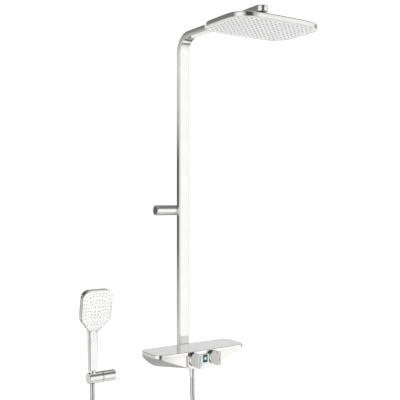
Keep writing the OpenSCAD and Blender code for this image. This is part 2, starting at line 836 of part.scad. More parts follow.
// upright slot with round ends, cut from the front
module outwards_slot(w, h, d) {
    rotate([-90, 0, 0]) linear_extrude(d) {
        square([w, h - w], center = true);
        for (end = [-1, 1]) translate([0, end * (h - w) / 2]) circle(w / 2);
    }
}

module hand_face() {
    color("whitesmoke") hand_head_frame() difference() {
        window_slab(3.8, hand_face_y, 3);
        translate([0, hand_face_y - 1, hand_centre]) rotate([-90, 0, 0])
            linear_extrude(6) rounded_rect(insert_w + 0.6, insert_w + 0.6, 6);
        for (spot = hand_spots) translate([spot[0], hand_face_y + 6, spot[1]]) outwards()
            cylinder(r = hand_nozzle_r + 0.2, h = 9, $fn = 16);
    }
}

// nozzle places on rounded-square rings about the insert
hand_spots = [for (ring = hand_rings, i = [0 : ring[1] - 1])
    let (t = 360 * (i + 0.5) / ring[1], c = cos(t), s = sin(t), bow = 0.7)
    [ring[0] * sign(c) * pow(abs(c), bow), hand_centre + ring[0] * sign(s) * pow(abs(s), bow)]];

module hand_insert() {
    color("white") hand_head_frame() difference() {
        translate([0, hand_face_y - 2.5, hand_centre]) rotate([-90, 0, 0])
            linear_extrude(5.5) rounded_rect(insert_w, insert_w, 6);
        for (sx = [-1, 1], sz = [-1, 1])
            translate([sx * 7.5, hand_face_y + 4, hand_centre + sz * 7.5]) outwards()
                cylinder(r = 3, h = 8, $fn = 16);
    }
}

module hand_nozzle_mat() {
    color("lightgray") hand_head_frame() {
        window_slab(9, hand_face_y + 3.4, 1.5);
        for (spot = hand_spots) translate([spot[0], hand_face_y + 4, spot[1]]) outwards()
            cylinder(r = hand_nozzle_r, h = 5, $fn = 16);
    }
}

module hand_waterway() {
    color("gray") translate([-hand_x, barrel_y, cone_top]) difference() {
        cylinder(r = 5, h = handle_top - cone_top - 4);
        translate([0, 0, -1]) cylinder(r = 3.6, h = 200);
    }
}

// rocker with two blind pockets behind it for its springs
module mode_button() {
    color("white") translate([-hand_x, barrel_y - handle_d / 2 - 1.5, button_z]) difference() {
        outwards_slot(button_w, button_h, 4);
        for (dz = spring_places) translate([0, 5, dz]) outwards() cylinder(r = 2.8, h = 3.4);
    }
}

// two conical wave springs at their compressed length
module button_spring() {
    color("silver") for (dz = spring_places)
        translate([-hand_x, barrel_y - 5.7, button_z + dz]) outwards() rotate_extrude()
            polygon([[2.4, 0], [1.6, 0.8], [2.4, 1.6], [1.6, 2.4],
                     [1.1, 2.4], [1.9, 1.6], [1.1, 0.8], [1.9, 0]]);
}

column_tube();
riser_pipe();
arm_end();
riser_foot();
spigot_orings();
bracket_barrel();
bracket_core();
bracket_cap();
bracket_post();
ball_stem();
stem_gasket();
ball_cup();
swivel_nut();
head_shell();
head_flange();
spray_plate();
nozzle_mat();
flow_limiter();
shelf_glass();
shelf_rim();
mixer_housing();
control_panel();
display_bezel();
display_window();
display_board();
valve_body();
inlet_unions();
inlet_nuts();
inlet_rosettes();
inlet_strainers();
check_poppet_hot();
check_poppet_cold();
flow_cartridge();
thermo_cartridge();
flow_spindle();
thermo_spindle();
thermo_spool();
flow_disc();
flow_grip();
temp_disc();
temp_grip();
stop_button();
outlet_nipple();
outlet_nut();
hose();
holder_barrel();
holder_core();
holder_end_ring();
holder_cup();
holder_cup_cap();
holder_post();
cone_nut();
hose_ferrule();
hand_shell();
hand_face();
hand_insert();
hand_nozzle_mat();
hand_waterway();
mode_button();
button_spring();
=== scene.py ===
"""Looks of the wall-mounted rainfall shower column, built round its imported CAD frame."""
import json
import math

import bmesh
import bpy
from mathutils import Matrix, Vector


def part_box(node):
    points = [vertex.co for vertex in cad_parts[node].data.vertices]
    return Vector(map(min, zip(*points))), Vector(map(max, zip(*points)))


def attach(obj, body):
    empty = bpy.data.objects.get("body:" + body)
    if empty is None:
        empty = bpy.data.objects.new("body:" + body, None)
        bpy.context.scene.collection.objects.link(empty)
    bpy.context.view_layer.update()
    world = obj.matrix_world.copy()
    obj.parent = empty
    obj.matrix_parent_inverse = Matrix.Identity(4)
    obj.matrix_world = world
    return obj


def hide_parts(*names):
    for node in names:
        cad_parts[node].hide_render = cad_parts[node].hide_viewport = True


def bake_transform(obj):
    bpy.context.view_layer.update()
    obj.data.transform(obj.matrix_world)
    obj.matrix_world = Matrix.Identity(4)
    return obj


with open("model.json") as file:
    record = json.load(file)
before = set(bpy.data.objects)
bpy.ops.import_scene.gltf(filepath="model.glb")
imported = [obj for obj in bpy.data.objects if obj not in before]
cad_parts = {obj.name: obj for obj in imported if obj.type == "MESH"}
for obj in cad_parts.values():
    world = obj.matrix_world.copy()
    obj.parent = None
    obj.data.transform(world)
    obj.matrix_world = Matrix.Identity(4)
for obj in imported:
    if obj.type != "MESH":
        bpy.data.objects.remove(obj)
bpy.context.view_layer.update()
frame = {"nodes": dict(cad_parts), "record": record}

MM = 0.001
FILLET_STEPS = 5
OUT = Matrix.Rotation(math.radians(90), 4, "X")  # local z towards the room, local y up
RIGHT = Matrix.Rotation(math.radians(90), 4, "Y")  # local z to the right
UP = Matrix.Identity(4)


# ---- camera ----

CAMERA_PLACE = (-1.285, -2.094, 0.525)
CAMERA_TURN = -33.57  # degrees from the wall's normal, to the right
CAMERA_LENS = 63


def add_camera():
    """Level camera at the photograph's viewing angle, to the left of the column."""
    data = bpy.data.cameras.new("camera")
    data.lens = CAMERA_LENS
    camera = bpy.data.objects.new("camera", data)
    camera.location = CAMERA_PLACE
    camera.rotation_euler = (math.radians(90), 0, math.radians(CAMERA_TURN))
    bpy.context.collection.objects.link(camera)
    bpy.context.scene.camera = camera


# ---- shapes: a shape is (points in millimetres, faces) ----

def box_mm(node):
    """Lowest and highest corner of a CAD node, in millimetres."""
    low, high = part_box(node)
    return low / MM, high / MM


def at(x, y, z, turn=UP):
    """Frame whose origin is at a place in millimetres."""
    return Matrix.Translation((x, y, z)) @ turn


def loft(rings, closed=False):
    """Quads between rings of equal length, with a flat cap at each end unless the rings close up."""
    size = len(rings[0])
    count = len(rings)
    faces = []
    for i in range(count if closed else count - 1):
        a, b = i * size, (i + 1) % count * size
        faces += [(a + k, a + (k + 1) % size, b + (k + 1) % size, b + k) for k in range(size)]
    if not closed:
        faces += [tuple(range(size - 1, -1, -1)), tuple(range((count - 1) * size, count * size))]
    return [p for ring in rings for p in ring], faces


def joined(*shapes):
    """Several shapes as one."""
    points, faces = [], []
    for more_points, more_faces in shapes:
        faces += [tuple(i + len(points) for i in face) for face in more_faces]
        points += more_points
    return points, faces


def fillet(corners, closed=False):
    """Polyline through corners (x, y) or (x, y, radius), the latter rounded by an arc."""
    line = []
    for i, (x, y, *radius) in enumerate(corners):
        if not radius or (not closed and i in (0, len(corners) - 1)):
            line.append((x, y))
            continue
        here = Vector((x, y))
        before = (Vector(corners[i - 1][:2]) - here).normalized()
        after = (Vector(corners[(i + 1) % len(corners)][:2]) - here).normalized()
        half = before.angle(after) / 2
        centre = here + (before + after).normalized() * radius[0] / math.sin(half)
        start = here + before * radius[0] / math.tan(half) - centre
        end = here + after * radius[0] / math.tan(half) - centre
        turn = start.angle(end)
        for k in range(FILLET_STEPS + 1):
            t = k / FILLET_STEPS
            spoke = (start * math.sin((1 - t) * turn) + end * math.sin(t * turn)) / math.sin(turn)
            line.append(tuple(centre + spoke))
    return line


def lathe(corners, place, closed=False, sides=64, flutes=0, flute_depth=0.0, flute_from=0.0):
    """Turned shape: corners are (radius, height, fillet); flutes groove it where it is wide enough."""
    rings = []
    for radius, height in fillet(corners, closed):
        ring = []
        for k in range(sides):
            t = math.tau * k / sides
            cut = flute_depth * (0.5 + 0.5 * math.cos(flutes * t)) if flutes and radius > flute_from else 0
            ring.append(place @ Vector(((radius - cut) * math.cos(t), (radius - cut) * math.sin(t), height)))
        rings.append(ring)
    return loft(rings, closed)


def shrink(outline, inset):
    """Parallel curve inside a counterclockwise outline."""
    if inset == 0:
        return list(outline)
    moved = []
    count = len(outline)
    for i in range(count):
        here = Vector(outline[i])
        a = (here - Vector(outline[i - 1])).normalized()
        b = (Vector(outline[(i + 1) % count]) - here).normalized()
        n1, n2 = Vector((a.y, -a.x)), Vector((b.y, -b.x))
        moved.append(tuple(here - (n1 + n2) * inset / max(0.3, 1 + n1.dot(n2))))
    return moved


def slab(outline, corners, place, closed=False):
    """Extruded outline: corners are (inset, height, fillet) up its edge."""
    rings = []
    for inset, height in fillet(corners, closed):
        rings.append([place @ Vector((x, y, height)) for x, y in shrink(outline, inset)])
    return loft(rings, closed)


def block(low, high):
    """Plain box, for cutting."""
    outline = [(low[0], low[1]), (high[0], low[1]), (high[0], high[1]), (low[0], high[1])]
    return loft([[Vector((x, y, z)) for x, y in outline] for z in (low[2], high[2])])


def arc(cx, cy, radius, start, end, steps):
    """Points of an arc between two angles in degrees."""
    angles = [math.radians(start + (end - start) * k / steps) for k in range(steps + 1)]
    return [(cx + radius * math.cos(t), cy + radius * math.sin(t)) for t in angles]


def rounded_rect(width, depth, radius, steps=6):
    """Counterclockwise rectangle with round corners, centred."""
    a, b = width / 2 - radius, depth / 2 - radius
    return (arc(a, b, radius, 0, 90, steps) + arc(-a, b, radius, 90, 180, steps)
            + arc(-a, -b, radius, 180, 270, steps) + arc(a, -b, radius, 270, 360, steps))


def face_outwards(mesh):
    """Welds doubled points and turns every face outwards."""
    work = bmesh.new()
    work.from_mesh(mesh)
    bmesh.ops.remove_doubles(work, verts=work.verts, dist=1e-7)
    bmesh.ops.recalc_face_normals(work, faces=work.faces)
    work.to_mesh(mesh)
    work.free()


def new_object(name, shape, scale=MM):
    """Object made of a shape."""
    points, faces = shape
    mesh = bpy.data.meshes.new(name)
    mesh.from_pydata([Vector(p) * scale for p in points], [], faces)
    face_outwards(mesh)
    made = bpy.data.objects.new(name, mesh)
    bpy.context.collection.objects.link(made)
    return made


def boolean(first, second, operation):
    """First shape after cutting away or keeping what it shares with the second."""
    solids = [new_object("cut", shape, 1) for shape in (first, second)]
    modifier = solids[0].modifiers.new("cut", "BOOLEAN")
    modifier.object = solids[1]
    modifier.operation = operation
    modifier.solver = "EXACT"
    result = solids[0].evaluated_get(bpy.context.evaluated_depsgraph_get()).to_mesh()
    shape = [v.co.copy() for v in result.vertices], [tuple(p.vertices) for p in result.polygons]
    for solid in solids:
        bpy.data.objects.remove(solid)
    return shape


def add_piece(name, shape, material, body, *stands_for, sharp=30):
    """Makes a piece from a shape, smooth except at edges sharper than that angle."""
    piece = new_object(name, shape)
    piece.data.shade_smooth()
    piece.data.set_sharp_from_angle(angle=math.radians(sharp))
    piece.data.materials.append(material)
    piece.modifiers.new("even_faces", "WEIGHTED_NORMAL").keep_sharp = True
    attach(piece, body)
    if stands_for:
        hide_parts(*stands_for)
    return piece


# ---- materials ----

def noise(tree, scale, detail=3.0, stretch=(1, 1, 1)):
    """Noise over the object's own coordinates."""
    coordinates = tree.nodes.new("ShaderNodeTexCoord")
    mapping = tree.nodes.new("ShaderNodeMapping")
    mapping.inputs["Scale"].default_value = stretch
    texture = tree.nodes.new("ShaderNodeTexNoise")
    texture.inputs["Scale"].default_value = scale
    texture.inputs["Detail"].default_value = detail
    tree.links.new(coordinates.outputs["Object"], mapping.inputs["Vector"])
    tree.links.new(mapping.outputs["Vector"], texture.inputs["Vector"])
    return texture.outputs["Fac"]


def ramp(tree, factor, low, high):
    """Colour that goes from low to high over the middle of the factor's range."""
    node = tree.nodes.new("ShaderNodeValToRGB")
    for stop, place, colour in zip(node.color_ramp.elements, (0.35, 0.65), (low, high)):
        stop.position = place
        stop.color = (*colour, 1)
    tree.links.new(factor, node.inputs["Fac"])
    return node.outputs["Color"]


def new_material(name, low, high, rough, patch, grain, bump, stretch=(1, 1, 1), **fixed):
    """Material whose colour and roughness drift in soft patches, with a fine grain of real depth.

    The CAD's own materials keep their names and are rebuilt.
    """
    material = bpy.data.materials.get(name) or bpy.data.materials.new(name)
    material.use_nodes = True
    tree = material.node_tree
    tree.nodes.clear()
    shader = tree.nodes.new("ShaderNodeBsdfPrincipled")
    tree.links.new(shader.outputs["BSDF"], tree.nodes.new("ShaderNodeOutputMaterial").inputs["Surface"])
    tree.links.new(ramp(tree, noise(tree, patch), low, high), shader.inputs["Base Color"])
    spread = tree.nodes.new("ShaderNodeMapRange")
    spread.inputs["To Min"].default_value, spread.inputs["To Max"].default_value = rough
    tree.links.new(noise(tree, patch * 2.3, 5.0, stretch), spread.inputs["Value"])
    tree.links.new(spread.outputs["Result"], shader.inputs["Roughness"])
    relief = tree.nodes.new("ShaderNodeBump")
    relief.inputs["Strength"].default_value = bump
    relief.inputs["Distance"].default_value = 0.0005
    tree.links.new(noise(tree, grain, 4.0, stretch), relief.inputs["Height"])
    tree.links.new(relief.outputs["Normal"], shader.inputs["Normal"])
    for socket, value in fixed.items():
        shader.inputs[socket.replace("_", " ")].default_value = value
    return material


def grey(value, warm=0.0):
    """Neutral or slightly warm grey."""
    return (value, value * (1 - warm / 4), value * (1 - warm))


def make_materials():
    """One material for each of the record's material slots."""
    rows = [
        new_material("chrome", grey(0.88, 0.03), grey(0.92, 0.03), (0.03, 0.07), 18, 400, 0.003,
                     Metallic=1.0),
        new_material("plated_plastic", grey(0.87, 0.03), grey(0.91, 0.03), (0.05, 0.09), 24, 300, 0.005,
                     Metallic=1.0),
        new_material("brass", (0.55, 0.38, 0.13), (0.72, 0.52, 0.20), (0.25, 0.42), 60, 1200, 0.2,
                     Metallic=1.0),
        new_material("steel", grey(0.42), grey(0.56), (0.28, 0.40), 80, 1500, 0.15, (1, 1, 12), Metallic=1.0),
        new_material("rubber", grey(0.018), grey(0.035), (0.55, 0.7), 90, 2500, 0.15),
        new_material("silicone", grey(0.46), grey(0.56), (0.42, 0.55), 120, 3000, 0.1,
                     Subsurface_Weight=0.15, Subsurface_Scale=0.002),
        new_material("acetal", grey(0.68, 0.05), grey(0.76, 0.05), (0.35, 0.45), 50, 1800, 0.1),
        new_material("white_plastic", grey(0.80, 0.01), grey(0.85, 0.01), (0.16, 0.24), 35, 1600, 0.04,
                     Coat_Weight=0.25, Coat_Roughness=0.08),
        new_material("glass_top", grey(0.62), grey(0.66), (0.05, 0.08), 12, 150, 0.01,
                     Coat_Weight=0.6, Coat_Roughness=0.04),
        new_material("display_halo", (0.62, 0.86, 0.87), (0.68, 0.90, 0.90), (0.12, 0.2), 60, 900, 0.02),
        new_material("display_glass", grey(0.006), grey(0.012), (0.04, 0.08), 40, 500, 0.01,
                     Coat_Weight=0.5, Coat_Roughness=0.03),
        new_material("board", (0.01, 0.09, 0.03), (0.02, 0.14, 0.05), (0.35, 0.5), 150, 2500, 0.3),
        new_material("hose_skin", grey(0.66), grey(0.74), (0.10, 0.18), 60, 700, 0.03, Metallic=1.0,
                     Coat_Weight=0.5, Coat_Roughness=0.06),
    ]
    return {material.name: material for material in rows}


def paint_cad(materials):
    """Gives every CAD node that still shows the material of its slot in the record."""
    for part in frame["record"]["subparts"]:
        node = frame["nodes"][part["node"]]
        material = materials[part["material_slot"]]
        for slot in node.material_slots:
            slot.material = material


# ---- hose ----

HOSE_D = 0.016
HOSE_ROUTE = [
    (0, -0.111, -0.072), (0, -0.111, -0.095), (0, -0.111, -0.120), (0.002, -0.111, -0.149),
    (0.008, -0.113, -0.189), (0.018, -0.115, -0.228), (0.029, -0.118, -0.269), (0.038, -0.120, -0.308),
    (0.041, -0.121, -0.346), (0.035, -0.119, -0.387), (0.019, -0.115, -0.428), (-0.006, -0.109, -0.465),
    (-0.038, -0.102, -0.496), (-0.076, -0.093, -0.519), (-0.120, -0.082, -0.533), (-0.165, -0.072, -0.538),
    (-0.210, -0.061, -0.533), (-0.254, -0.050, -0.519), (-0.292, -0.041, -0.496), (-0.324, -0.034, -0.465),
    (-0.349, -0.028, -0.428), (-0.365, -0.024, -0.387), (-0.371, -0.023, -0.346), (-0.368, -0.023, -0.308),
    (-0.360, -0.025, -0.269), (-0.349, -0.028, -0.228), (-0.339, -0.030, -0.189), (-0.333, -0.032, -0.149),
    (-0.331, -0.032, -0.120), (-0.331, -0.032, -0.095), (-0.331, -0.032, -0.0635),
]
HOSE_PITCH = 0.0026  # of the winding under its skin
HOSE_RIDGE = 0.00012
HOSE_SIDES = 20
LOOP_SIDE = Vector((0.23, 0.97, 0))  # roughly square to the loop's plane


def curve_through(route, step, fineness=40):
    """Evenly spaced points on a smooth curve through a route."""
    points = [Vector(p) for p in route]
    ends = [points[0], *points, points[-1]]
    dense = []
    for a, b, c, d in zip(ends, ends[1:], ends[2:], ends[3:]):
        for k in range(fineness):
            t = k / fineness
            dense.append(0.5 * (2 * b + (c - a) * t + (2 * a - 5 * b + 4 * c - d) * t ** 2
                                + (3 * b - a - 3 * c + d) * t ** 3))
    dense.append(points[-1])
    length = sum((q - p).length for p, q in zip(dense, dense[1:]))
    spacing = length / round(length / step)
    line, walked, due = [dense[0]], 0.0, spacing
    for p, q in zip(dense, dense[1:]):
        reach = (q - p).length
        while due <= walked + reach + 1e-9:
            line.append(p.lerp(q, min(1.0, (due - walked) / reach)))
            due += spacing
        walked += reach
    return line


def add_hose(materials):
    """Smooth-skinned shower hose whose winding shows as fine ridges."""
    line = curve_through(HOSE_ROUTE, HOSE_PITCH / 5)
    rings, walked = [], 0.0
    for i, point in enumerate(line):
        before, after = line[max(i - 1, 0)], line[min(i + 1, len(line) - 1)]
        walked += (point - before).length
        along = (after - before).normalized()
        u = (LOOP_SIDE - along * LOOP_SIDE.dot(along)).normalized()
        v = along.cross(u)
        ring = []
        for k in range(HOSE_SIDES):
            t = math.tau * k / HOSE_SIDES
            wave = math.cos(math.tau * walked / HOSE_PITCH - t)
            radius = HOSE_D / 2 - HOSE_RIDGE + HOSE_RIDGE * wave
            ring.append((point + radius * (math.cos(t) * u + math.sin(t) * v)) / MM)
        rings.append(ring)
    hose = new_object("shower_hose", loft(rings))
    hose.data.shade_smooth()
    hose.data.materials.append(materials["hose_skin"])
    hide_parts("hose")
    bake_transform(hose)
    return hose, line


# ---- column ----

COLUMN_D = 20
COLUMN_WALL = 1.6
COLUMN_ROUND = 4
BEND_R = 58
BEND_STEPS = 32


def column_shape():
    """Flat tube that bends from the wall into the arm."""
    low, high = box_mm("column_tube")
    width = high.x - low.x
    riser_y = high.y - COLUMN_D / 2
    arm_z = high.z - COLUMN_D / 2
    stations = [(riser_y, low.z, 0), (riser_y, arm_z - BEND_R, 0)]
    for k in range(1, BEND_STEPS):
        t = math.radians(90) * k / BEND_STEPS
        stations.append((riser_y - BEND_R * (1 - math.cos(t)), arm_z - BEND_R * (1 - math.sin(t)), t))
    stations += [(riser_y - BEND_R, arm_z, math.pi / 2), (low.y, arm_z, math.pi / 2)]

    def ring(station, inset):
        """Section of the tube at a station, t being its turn towards the arm."""
        y, z, t = station
        outline = rounded_rect(width - 2 * inset, COLUMN_D - 2 * inset, COLUMN_ROUND - inset, 5)
        return [Vector((u, y - v * math.cos(t), z - v * math.sin(t))) for u, v in outline]

    outer = [ring(station, 0) for station in stations]
    inner = [ring(station, COLUMN_WALL) for station in reversed(stations)]
    return loft(outer + inner, closed=True)


def arm_end_shape():
    """Half-round end of the arm."""
    low, high = box_mm("arm_end")
    radius = (high.x - low.x) / 2
    back = box_mm("column_tube")[0].y
    middle = low.y + radius
    outline = [(-radius, back), (-radius, (back + middle) / 2), *arc(0, middle, radius, 180, 360, 40),
               (radius, (back + middle) / 2), (radius, back)]
    rings = []
    edge = [(8, low.z), (0, low.z, COLUMN_ROUND), (0, high.z, COLUMN_ROUND), (8, high.z)]
    for inset, z in fillet(edge):
        ring = shrink(outline, inset)
        ring[0], ring[-1] = (inset - radius, back), (radius - inset, back)
        rings.append([Vector((x, y, z)) for x, y in ring])
    return loft(rings)


def post_shape(node):
    """Round wall post with its flange and the socket for the wall stud."""
    low, high = box_mm(node)
    x, z = (low.x + high.x) / 2, (low.z + high.z) / 2
    flange, post, socket = (high.x - low.x) / 2, 9, 3.4
    corners = [(socket, 20), (socket, 0), (flange, 0, 0.3), (flange, 4, 1.2), (post, 4, 1.5), (post, -low.y)]
    return lathe(corners, at(x, 0, z, OUT))


def add_column(materials):
    """Column with its arm, and the bracket that holds it."""
    chrome = materials["chrome"]
    add_piece("column_profile", column_shape(), chrome, "root", "column_tube")
    add_piece("arm_nose", arm_end_shape(), chrome, "root", "arm_end")
    add_bracket(chrome)


def add_bracket(chrome):
    """Barrel against the column's back, its end cap and its wall post."""
    low, high = box_mm("bracket_barrel")
    y, z, radius = (low.y + high.y) / 2, (low.z + high.z) / 2, (high.z - low.z) / 2
    sleeve = lathe([(radius - 3, low.x), (radius, low.x, 0.5), (radius, high.x, 0.8), (radius - 3, high.x)],
                   at(0, y, z, RIGHT), closed=True)
    column_low, column_high = box_mm("column_tube")
    notch = block((column_low.x, column_high.y - 30, z - 30), (column_high.x + 4, column_high.y, z + 30))
    add_piece("bracket_sleeve", boolean(sleeve, notch, "DIFFERENCE"), chrome, "root", "bracket_barrel")
    low, high = box_mm("bracket_cap")
    cap = [(2, low.x + 0.6), (radius - 5, low.x + 0.6, 0.4), (radius - 4, low.x, 0.4),
           (radius - 0.4, low.x, 1.2), (radius - 0.4, low.x + 3), (radius - 3.1, low.x + 3),
           (radius - 3.1, high.x)]
    add_piece("bracket_end", lathe(cap, at(0, y, z, RIGHT)), chrome, "root", "bracket_cap")
    add_piece("bracket_foot", post_shape("bracket_post"), chrome, "root", "bracket_post")


# ---- rain head ----

HEAD_BOW = 4.2  # exponent of the bowed outline
BOW_STEPS = 144
RAIN_PITCH = 16.5
RAIN_MARGIN = 11
RAIN_NOZZLE_R = 2.3


def bowed(half_w, half_d):
    """Bowed rectangle, evenly stepped by angle."""
    outline = []
    for k in range(BOW_STEPS):
        t = math.tau * k / BOW_STEPS
        c, s = math.cos(t), math.sin(t)
        reach = (abs(c / half_w) ** HEAD_BOW + abs(s / half_d) ** HEAD_BOW) ** (-1 / HEAD_BOW)
        outline.append((reach * c, reach * s))
    return outline


def nozzle(place, radius, height, sides=12):
    """Soft cone with a rim and a bored tip; local z runs out of the face."""
    corners = [(radius * 1.25, -1), (radius * 1.25, 0.12), (radius * 1.02, 0.3),
               (radius * 0.82, height - 0.2), (radius * 0.66, height), (radius * 0.4, height),
               (radius * 0.3, height - 0.5)]
    return lathe(corners, place, sides=sides)


def add_rain_head(materials):
    """Chrome shell, white face and a square grid of nozzles over the bowed outline."""
    chrome = materials["chrome"]
    low, high = box_mm("head_shell")
    x, y = (low.x + high.x) / 2, (low.y + high.y) / 2
    outline = bowed((high.x - low.x) / 2, (high.y - low.y) / 2)
    centre = at(x, y, 0)
    edge = [(9, high.z - 2), (2.2, high.z - 2), (2.2, low.z, 0.3), (0, low.z, 0.9), (0, high.z, 3.2),
            (9, high.z)]
    add_piece("rain_shell", slab(outline, edge, centre), chrome, "rain_head", "head_shell")
    edge = [(9, low.z + 3), (2.4, low.z + 3), (2.4, low.z + 1.2, 0.4), (15, low.z, 20), (24, low.z)]
    face = slab(outline, edge, centre)
    add_piece("rain_face", face, materials["white_plastic"], "rain_head", "spray_plate")
    tips = box_mm("nozzle_mat")[0].z
    edge = [(9, low.z + 4.5), (6, low.z + 4.5, 0.4), (6, low.z + 3.05, 0.4), (9, low.z + 3.05)]
    mat = slab(outline, edge, centre)
    rows = []
    half_w, half_d = (high.x - low.x) / 2 - RAIN_MARGIN, (high.y - low.y) / 2 - RAIN_MARGIN
    down = Matrix.Rotation(math.pi, 4, "X")
    for j in range(-6, 7):
        for i in range(-9, 10):
            px, py = i * RAIN_PITCH, j * RAIN_PITCH
            if abs(px / half_w) ** HEAD_BOW + abs(py / half_d) ** HEAD_BOW < 1:
                rows.append(nozzle(at(x + px, y + py, low.z, down), RAIN_NOZZLE_R, low.z - tips))
    add_piece("rain_nozzles", joined(mat, *rows), materials["silicone"], "rain_head", "nozzle_mat")
    add_ball_joint(materials, x, y, high.z)


def add_ball_joint(materials, x, y, head_top):
    """Stem with its ball, the swivel nut and the neck of the head."""
    chrome = materials["chrome"]
    low, high = box_mm("ball_stem")
    ball_r, bore, neck, flange, thread, thread_h = 11, 4, 7, 14, 10.48, 10
    ball_z = low.z + math.sqrt(ball_r ** 2 - bore ** 2)
    arm_under = high.z - thread_h
    ball = [(ball_r * math.cos(t), ball_z + ball_r * math.sin(t))
            for t in (math.radians(-68 + 118 * k / 14) for k in range(15))]
    stem = [(bore, low.z), *ball, (neck, ball_z + 8.6), (neck, arm_under - 6, 1),
            (flange, arm_under - 6, 0.8), (flange, arm_under - 1.5, 0.8), (thread, arm_under - 1.5),
            (thread, high.z), (bore, high.z)]
    turned = lathe(stem, at(x, y, 0), closed=True, sides=48)
    add_piece("ball_stem_turned", turned, chrome, "root", "ball_stem")
    low, high = box_mm("swivel_nut")
    nut_r, cup_side, lip = 22, 17.6, 12
    nut = [(cup_side, low.z), (nut_r, low.z, 0.8), (nut_r, high.z, 1.4), (lip, high.z, 0.3),
           (13.5, high.z - 2.8), (14.8, high.z - 6), (cup_side, high.z - 6)]
    ring = lathe(nut, at(x, y, 0), True, sides=108, flutes=18, flute_depth=0.7, flute_from=20)
    add_piece("swivel_ring", ring, chrome, "rain_head", "swivel_nut")
    cup_r = 15.3
    bowl = [(cup_r * math.cos(t), ball_z + cup_r * math.sin(t))
            for t in (math.radians(-66 * k / 8) for k in range(9))]
    foot = [(6, head_top), (26, head_top, 0.3), (26, head_top + 3, 1), (21, head_top + 3, 1.5),
            (21, ball_z + 1, 0.5), (17.5, ball_z + 1), (17.5, ball_z + 4), (cup_r, ball_z + 4), *bowl]
    add_piece("head_neck", lathe(foot, at(x, y, 0), True), chrome, "rain_head", "head_flange")


# ---- shelf mixer ----

SHELF_CORNER = 24
SHELF_BOW = 8
FLANK_CURVE = [(0, 0), (16, 18.5), (46, 52.5), (81, 52.5)]  # inwards and down from the rim
PANEL_Z = -15  # where the control panel's lower side starts to curve
FRONT_HALF = 64  # half width of the housing's front at that height
FRONT_DIP = -27.5  # lowest point of the housing's front
WALL = 3  # of the housing


def shelf_plan():
    """Plan of the shelf: round corners and a front edge that bows outwards."""
    low, high = box_mm("shelf_rim")
    a, r = high.x, SHELF_CORNER
    front = low.y + SHELF_BOW
    bow = [((k / 12 - 1) * (a - r), front - SHELF_BOW * (1 - (k / 12 - 1) ** 2)) for k in range(1, 24)]
    return (arc(a - r, high.y - r, r, 0, 90, 10) + arc(-a + r, high.y - r, r, 90, 180, 10)
            + arc(-a + r, front + r, r, 180, 270, 10) + bow + arc(a - r, front + r, r, 270, 360, 10))


def edges_of(half):
    """Edges of a profile that runs from the left rim to the right one, given its right half."""
    line = [(-x, z) for x, z in half] + [(x, z) for x, z in reversed(half)][1:]
    return [(x2 - x1, z2 - z1) for (x1, z1), (x2, z2) in zip(line, line[1:])]


def boat_shape(top, inset, back_y, front_y):
    """Body whose lower side blends the curved back profile into the flatter front one."""
    low, high = box_mm("mixer_housing")
    half_w, bottom = high.x + 0.5 - inset, low.z + inset
    panel_w, panel_z = FRONT_HALF - inset / 2, PANEL_Z + inset
    front_w = half_w - SHELF_CORNER
    front = [(front_w, top), (panel_w, panel_z)]
    front += [(panel_w * math.cos(t), panel_z + (FRONT_DIP - PANEL_Z) * math.sin(t))
              for t in (math.radians(90) * k / 10 for k in range(1, 11))]
    back = []
    for t in [k / 20 for k in range(21)]:
        share = [(1 - t) ** 3, 3 * (1 - t) ** 2 * t, 3 * (1 - t) * t ** 2, t ** 3]
        aside, down = (sum(s * c for s, c in zip(share, row)) for row in zip(*FLANK_CURVE))
        back.append((half_w - aside, top - down * (top - bottom) / FLANK_CURVE[-1][1]))
    back.append((0, bottom))
    edges = [(dx, dz, 0) for dx, dz in edges_of(front)] + [(dx, dz, 1) for dx, dz in edges_of(back)]
    edges.sort(key=lambda edge: math.atan2(edge[1], edge[0]))
    rings = []
    for share in [k / 16 for k in range(17)]:
        x, z = -half_w * share - front_w * (1 - share), top
        y = front_y + (back_y - front_y) * share
        ring = [Vector((x, y, z))]
        for dx, dz, from_back in edges:
            part = max(share, 1e-4) if from_back else max(1 - share, 1e-4)
            x, z = x + dx * part, z + dz * part
            ring.append(Vector((x, y, z)))
        rings.append(ring)
    return loft(rings)


def mixer_shell():
    """Hollow boat-shaped housing under the rim, cut to the shelf's plan."""
    rim_low, rim_high = box_mm("shelf_rim")
    low, high = box_mm("mixer_housing")
    plan = shrink(shelf_plan(), 0.5)
    wide = slab(plan, [(0, low.z - 2), (0, high.z)], UP)
    outer = boolean(boat_shape(high.z, 0, rim_high.y + 3, rim_low.y - 3), wide, "INTERSECT")
    room = slab(plan, [(WALL, low.z - 2), (WALL, high.z + 4)], UP)
    inner = boolean(boat_shape(high.z + 1, WALL - 0.5, rim_high.y + 3, rim_low.y - 3), room, "INTERSECT")
    return boolean(outer, inner, "DIFFERENCE")


